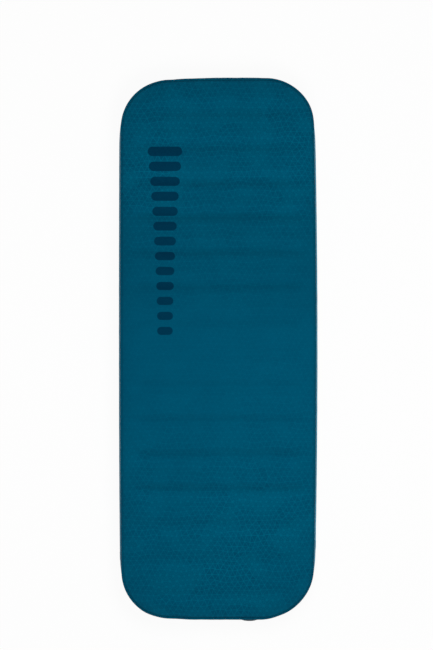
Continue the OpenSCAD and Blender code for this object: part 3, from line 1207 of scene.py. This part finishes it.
shade = times(tree, shade, times_plus(tree, painted_broad_shade, -0.085, 1.0))
shade = times(tree, shade, sealed["Shade"])
# Painted shade: at the head and the foot the seal band is painted a further 14 % darker, for the
# shade in the crease of the seam.
painted_end_seam_shade = times(tree, sealed["Band"], ramp(tree, calc(tree, "ABSOLUTE", parts[1]), 0.78, 0.88))
shade = times(tree, shade, times_plus(tree, painted_end_seam_shade, -0.14, 1.0))
paint(tree, shader, inked, shade)
rough = times_plus(tree, use_marks["Rub"], -0.08, 0.62)
tree.links.new(times_plus(tree, sealed["Band"], -0.14, rough), shader.inputs["Roughness"])
raised = times_plus(tree, lattice["Lines"], 0.4, plus(tree, cloth["Height"], sealed["Ribs"]))
relief(tree, shader, raised, 0.5, 0.0002)
wear(top_fabric, top_panel)

# %% [markdown]
# The wall and its tapes are a closer, smoother weave of nearly the same teal.

# %% Wall fabric
def wall_finish(name, colour, threads):
    material, tree, shader, place = finish(
        name,
        Sheen_Weight=0.45, Sheen_Roughness=0.35, Sheen_Tint=(0.0, 0.6, 0.9, 1),
        Specular_IOR_Level=0.14, Specular_Tint=(0.02, 0.6, 0.9, 1),
    )
    cloth = use(tree, weave, Vector=place, Threads=threads)
    marks = use(tree, handling, Vector=place, Broad=14.0, Small=90.0, Amount=0.14)
    height = split(tree, place)[2]
    to_rim = minus(tree, seam_z / 2, calc(tree, "ABSOLUTE", minus(tree, height, seam_z / 2)))
    sealed = use(tree, seal_band, Vector=place, Distance=to_rim, Width=0.0095)
    shade = times(tree, cloth["Shade"], marks["Shade"])
    shade = times(tree, shade, sealed["Shade"])
    paint(tree, shader, colour, shade)
    rough = times_plus(tree, marks["Rub"], -0.1, 0.55)
    tree.links.new(times_plus(tree, sealed["Band"], -0.14, rough), shader.inputs["Roughness"])
    relief(tree, shader, plus(tree, cloth["Height"], sealed["Ribs"]), 0.5, 0.00018)
    return material


wall_fabric = wall_finish("wall_fabric_teal_weave", (0.0, 0.088, 0.158), 1100.0)
tape_fabric = wall_finish("join_tape_teal", (0.0, 0.078, 0.142), 1400.0)
# The weld cord is a darker teal. This is partly the melted fabric's own colour and partly painted
# shade of the crease along the seam.
weld_fabric_and_crease_shade = wall_finish("weld_edge_teal", (0.0, 0.040, 0.080), 1400.0)
wear(wall_fabric, wall_head, wall_foot)
wear(tape_fabric, *tapes)
wear(weld_fabric_and_crease_shade, *welds)

# %% [markdown]
# The base is a dark slate fabric. Small dots of clear grip are printed on it in staggered rows.

# %% Base fabric
base_fabric, tree, shader, place = finish(
    "base_fabric_slate", Sheen_Weight=0.05, Sheen_Roughness=0.4, Specular_IOR_Level=0.35
)
cloth = use(tree, weave, Vector=place, Threads=800.0)
marks = use(tree, handling, Vector=place, Broad=7.0, Small=70.0, Amount=0.22)
parts = split(tree, place)
dot_pitch = 0.012
row = calc(tree, "DIVIDE", parts[1], dot_pitch * math.sqrt(3) / 2)
row_index = calc(tree, "ROUND", row)
column = plus(tree, calc(tree, "DIVIDE", parts[0], dot_pitch), times(tree, row_index, 0.5))
dx = times(tree, minus(tree, column, calc(tree, "ROUND", column)), dot_pitch)
dy = times(tree, minus(tree, row, row_index), dot_pitch * math.sqrt(3) / 2)
to_dot = calc(tree, "SQRT", plus(tree, times(tree, dx, dx), times(tree, dy, dy)))
dots = fall(tree, to_dot, 0.0012, 0.0017)
ground = blend(tree, times(tree, dots, 0.7), (0.030, 0.036, 0.042, 1), (0.060, 0.072, 0.080, 1))
shade = times(tree, cloth["Shade"], marks["Shade"])
paint(tree, shader, ground, shade)
tree.links.new(times_plus(tree, dots, -0.25, 0.68), shader.inputs["Roughness"])
relief(tree, shader, times_plus(tree, dots, 1.5, cloth["Height"]), 0.6, 0.0002)
wear(base_fabric, base_panel)

# %% [markdown]
# Foam is a mass of open cells. Voronoi cells of two sizes give the pores: pits with painted shade.

# %% Foam
foam_finish, tree, shader, place = finish("foam_open_cell", Specular_IOR_Level=0.2)
pores = add(tree, "TexVoronoi", {"feature": "F1"}, Vector=place, Scale=900.0).outputs["Distance"]
big = add(tree, "TexVoronoi", {"feature": "F1"}, Vector=place, Scale=380.0).outputs["Distance"]
pit = times(tree, ramp(tree, pores, 0.1, 0.55), ramp(tree, big, 0.05, 0.4))
marks = use(tree, handling, Vector=place, Broad=9.0, Small=120.0, Amount=0.1)
# Painted shade: the pores are painted a darker yellow than the cell walls around them.
tone = blend(tree, pit, (0.55, 0.47, 0.28, 1), (0.80, 0.73, 0.52, 1))
paint(tree, shader, tone, marks["Shade"])
tree.links.new(times_plus(tree, pit, 0.1, 0.85), shader.inputs["Roughness"])
relief(tree, shader, pit, 0.8, 0.0008)
wear(foam_finish, foam)

# %% [markdown]
# The valve is moulded plastic with a fine spark-eroded grain, and a few soft rubber pieces. One
# recipe makes them all, with its own colour, gloss and grain for each.

# %% Plastics, rubber, silicone, mesh and steel
def moulded(name, colour, rough, grain, depth, rim, **constants):
    material, tree, shader, place = finish(name, **constants)
    marks = use(tree, handling, Vector=place, Broad=60.0, Small=400.0, Amount=0.24)
    fine = noise_in(tree, place, grain, 3.0)
    worn = use(tree, rim_wear, Vector=place, Radius=rim)["Worn"]
    pale = [0.7 * part + 0.05 for part in colour]
    edged = blend(tree, times(tree, worn, 0.6), (*colour, 1), (*pale, 1))
    paint(tree, shader, edged, marks["Shade"])
    gloss = times_plus(tree, marks["Rub"], -0.12, rough)
    tree.links.new(times_plus(tree, worn, -0.10, gloss), shader.inputs["Roughness"])
    relief(tree, shader, fine, 0.6, depth)
    return material


def rim_of(node):
    low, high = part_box(node)
    return (high.x - low.x) / 2


lip_rim = rim_of("valve_socket")
insert_rim = rim_of("insert_ring")
finishes = {
    "valve_plastic": moulded(
        "valve_plastic_petrol", (0.004, 0.040, 0.066), 0.45, 2500.0, 0.00006, lip_rim
    ),
    "insert_plastic": moulded(
        "insert_plastic_dark", (0.012, 0.018, 0.024), 0.40, 3000.0, 0.00005, insert_rim
    ),
    "button_plastic": moulded(
        "button_plastic_orange", (0.75, 0.16, 0.015), 0.38, 2500.0, 0.00004, rim_of("flap_button")
    ),
    "silicone": moulded(
        "silicone_milky", (0.52, 0.54, 0.55), 0.35, 900.0, 0.00003, rim_of("one_way_flap"),
        Subsurface_Weight=0.15,
    ),
    "seal_rubber": moulded(
        "seal_rubber_black", (0.010, 0.010, 0.011), 0.60, 1500.0, 0.00005, insert_rim
    ),
    "soft_flange": moulded(
        "soft_flange_teal", (0.0, 0.060, 0.110), 0.50, 1200.0, 0.00008, rim_of("valve_flange")
    ),
    "pin_steel": moulded(
        "pin_steel_brushed", (0.60, 0.60, 0.58), 0.28, 2000.0, 0.00002, insert_rim, Metallic=1.0
    ),
    "patch_fabric": wall_finish("patch_fabric_teal", (0.0, 0.068, 0.128), 1300.0),
    "mesh_fabric": wall_finish("mesh_fabric_grey", (0.20, 0.22, 0.23), 2200.0),
}
for node in [*frame["nodes"].values(), *rounded_pieces]:
    for place_in_node in node.material_slots:
        if place_in_node.material and place_in_node.material.name in finishes:
            place_in_node.material = finishes[place_in_node.material.name]

# %% [markdown]
# ## Light, floor and camera
#
# The pad lies on a plain white floor under soft light. One large round lamp hangs low over the
# pad, a little to the right of its middle, so that the slopes of the ripples that face the middle
# are a little brighter. Its light doesn't fade with distance, and the camera doesn't see it. The
# world gives the rest, and more of it from near the horizon. The floor looks white to the camera
# and to reflections, and keeps a faint shadow.

# %% World and floor
white_share = 0.95
floor_drop = 0.0005
scene = bpy.context.scene
scene.view_settings.view_transform = "Standard"
world = bpy.data.worlds.new("studio")
scene.world = world
world.use_nodes = True
tree = world.node_tree
tree.nodes.clear()
direction = add(tree, "TexCoord").outputs["Generated"]
rise = calc(tree, "ABSOLUTE", split(tree, direction)[2])
low_sky = fall(tree, rise, 0.05, 0.45)
sky_level = times_plus(tree, low_sky, 0.60, 0.27)
fill = add(tree, "Background", None, Color=(1, 1, 1, 1), Strength=sky_level).outputs[0]
white = add(tree, "Background", None, Color=(1, 1, 1, 1), Strength=1.0).outputs[0]
shown = add(tree, "MixShader", None, i0=plain_rays(tree), i1=fill, i2=white).outputs[0]
add(tree, "OutputWorld", None, Surface=shown)

bpy.ops.object.select_all(action="DESELECT")
bpy.ops.mesh.primitive_plane_add(size=60, location=(0, 0, -floor_drop))
floor = bpy.context.object
floor.name = "floor"
floor_finish = bpy.data.materials.new("floor_white")
floor_finish.use_nodes = True
tree = floor_finish.node_tree
tree.nodes.clear()
back = add(tree, "NewGeometry").outputs["Backfacing"]
lit = add(tree, "BsdfDiffuse", None, Color=(0.95, 0.95, 0.95, 1)).outputs[0]
glow = add(tree, "Emission", None, Color=(1, 1, 1, 1), Strength=1.0).outputs[0]
clear = add(tree, "BsdfTransparent").outputs[0]
glowing = times(tree, plain_rays(tree), white_share)
seen = add(tree, "MixShader", None, i0=glowing, i1=lit, i2=glow).outputs[0]
both = add(tree, "MixShader", None, i0=back, i1=seen, i2=clear).outputs[0]
add(tree, "OutputMaterial", None, Surface=both)
floor.data.materials.append(floor_finish)

# %% Lamp and camera
lamp_radius = 0.35
lamp_watts = 22.6
lamp_place = (0.25, -0.05, 1.35)
lamp_data = bpy.data.lights.new("soft_lamp", "POINT")
lamp_data.shadow_soft_size = lamp_radius
lamp_data.energy = lamp_watts
lamp_data.use_nodes = True
tree = lamp_data.node_tree
even = add(tree, "LightFalloff", None, Strength=1.0).outputs["Constant"]
tree.links.new(even, tree.nodes["Emission"].inputs["Strength"])
lamp = bpy.data.objects.new("soft_lamp", lamp_data)
lamp.location = lamp_place
lamp.visible_camera = False
scene.collection.objects.link(lamp)

view_height = 2.2009
camera_rise = 4.2
camera_x, camera_y = -0.0058, 0.0796
sensor_mm = 36
camera_data = bpy.data.cameras.new("camera")
camera_data.sensor_width = sensor_mm
camera_data.lens = sensor_mm * camera_rise / view_height
camera = bpy.data.objects.new("camera", camera_data)
camera.location = (camera_x, camera_y, camera_rise + valve_z)
scene.collection.objects.link(camera)
scene.camera = camera
print("lens:", round(camera_data.lens, 1), "mm")
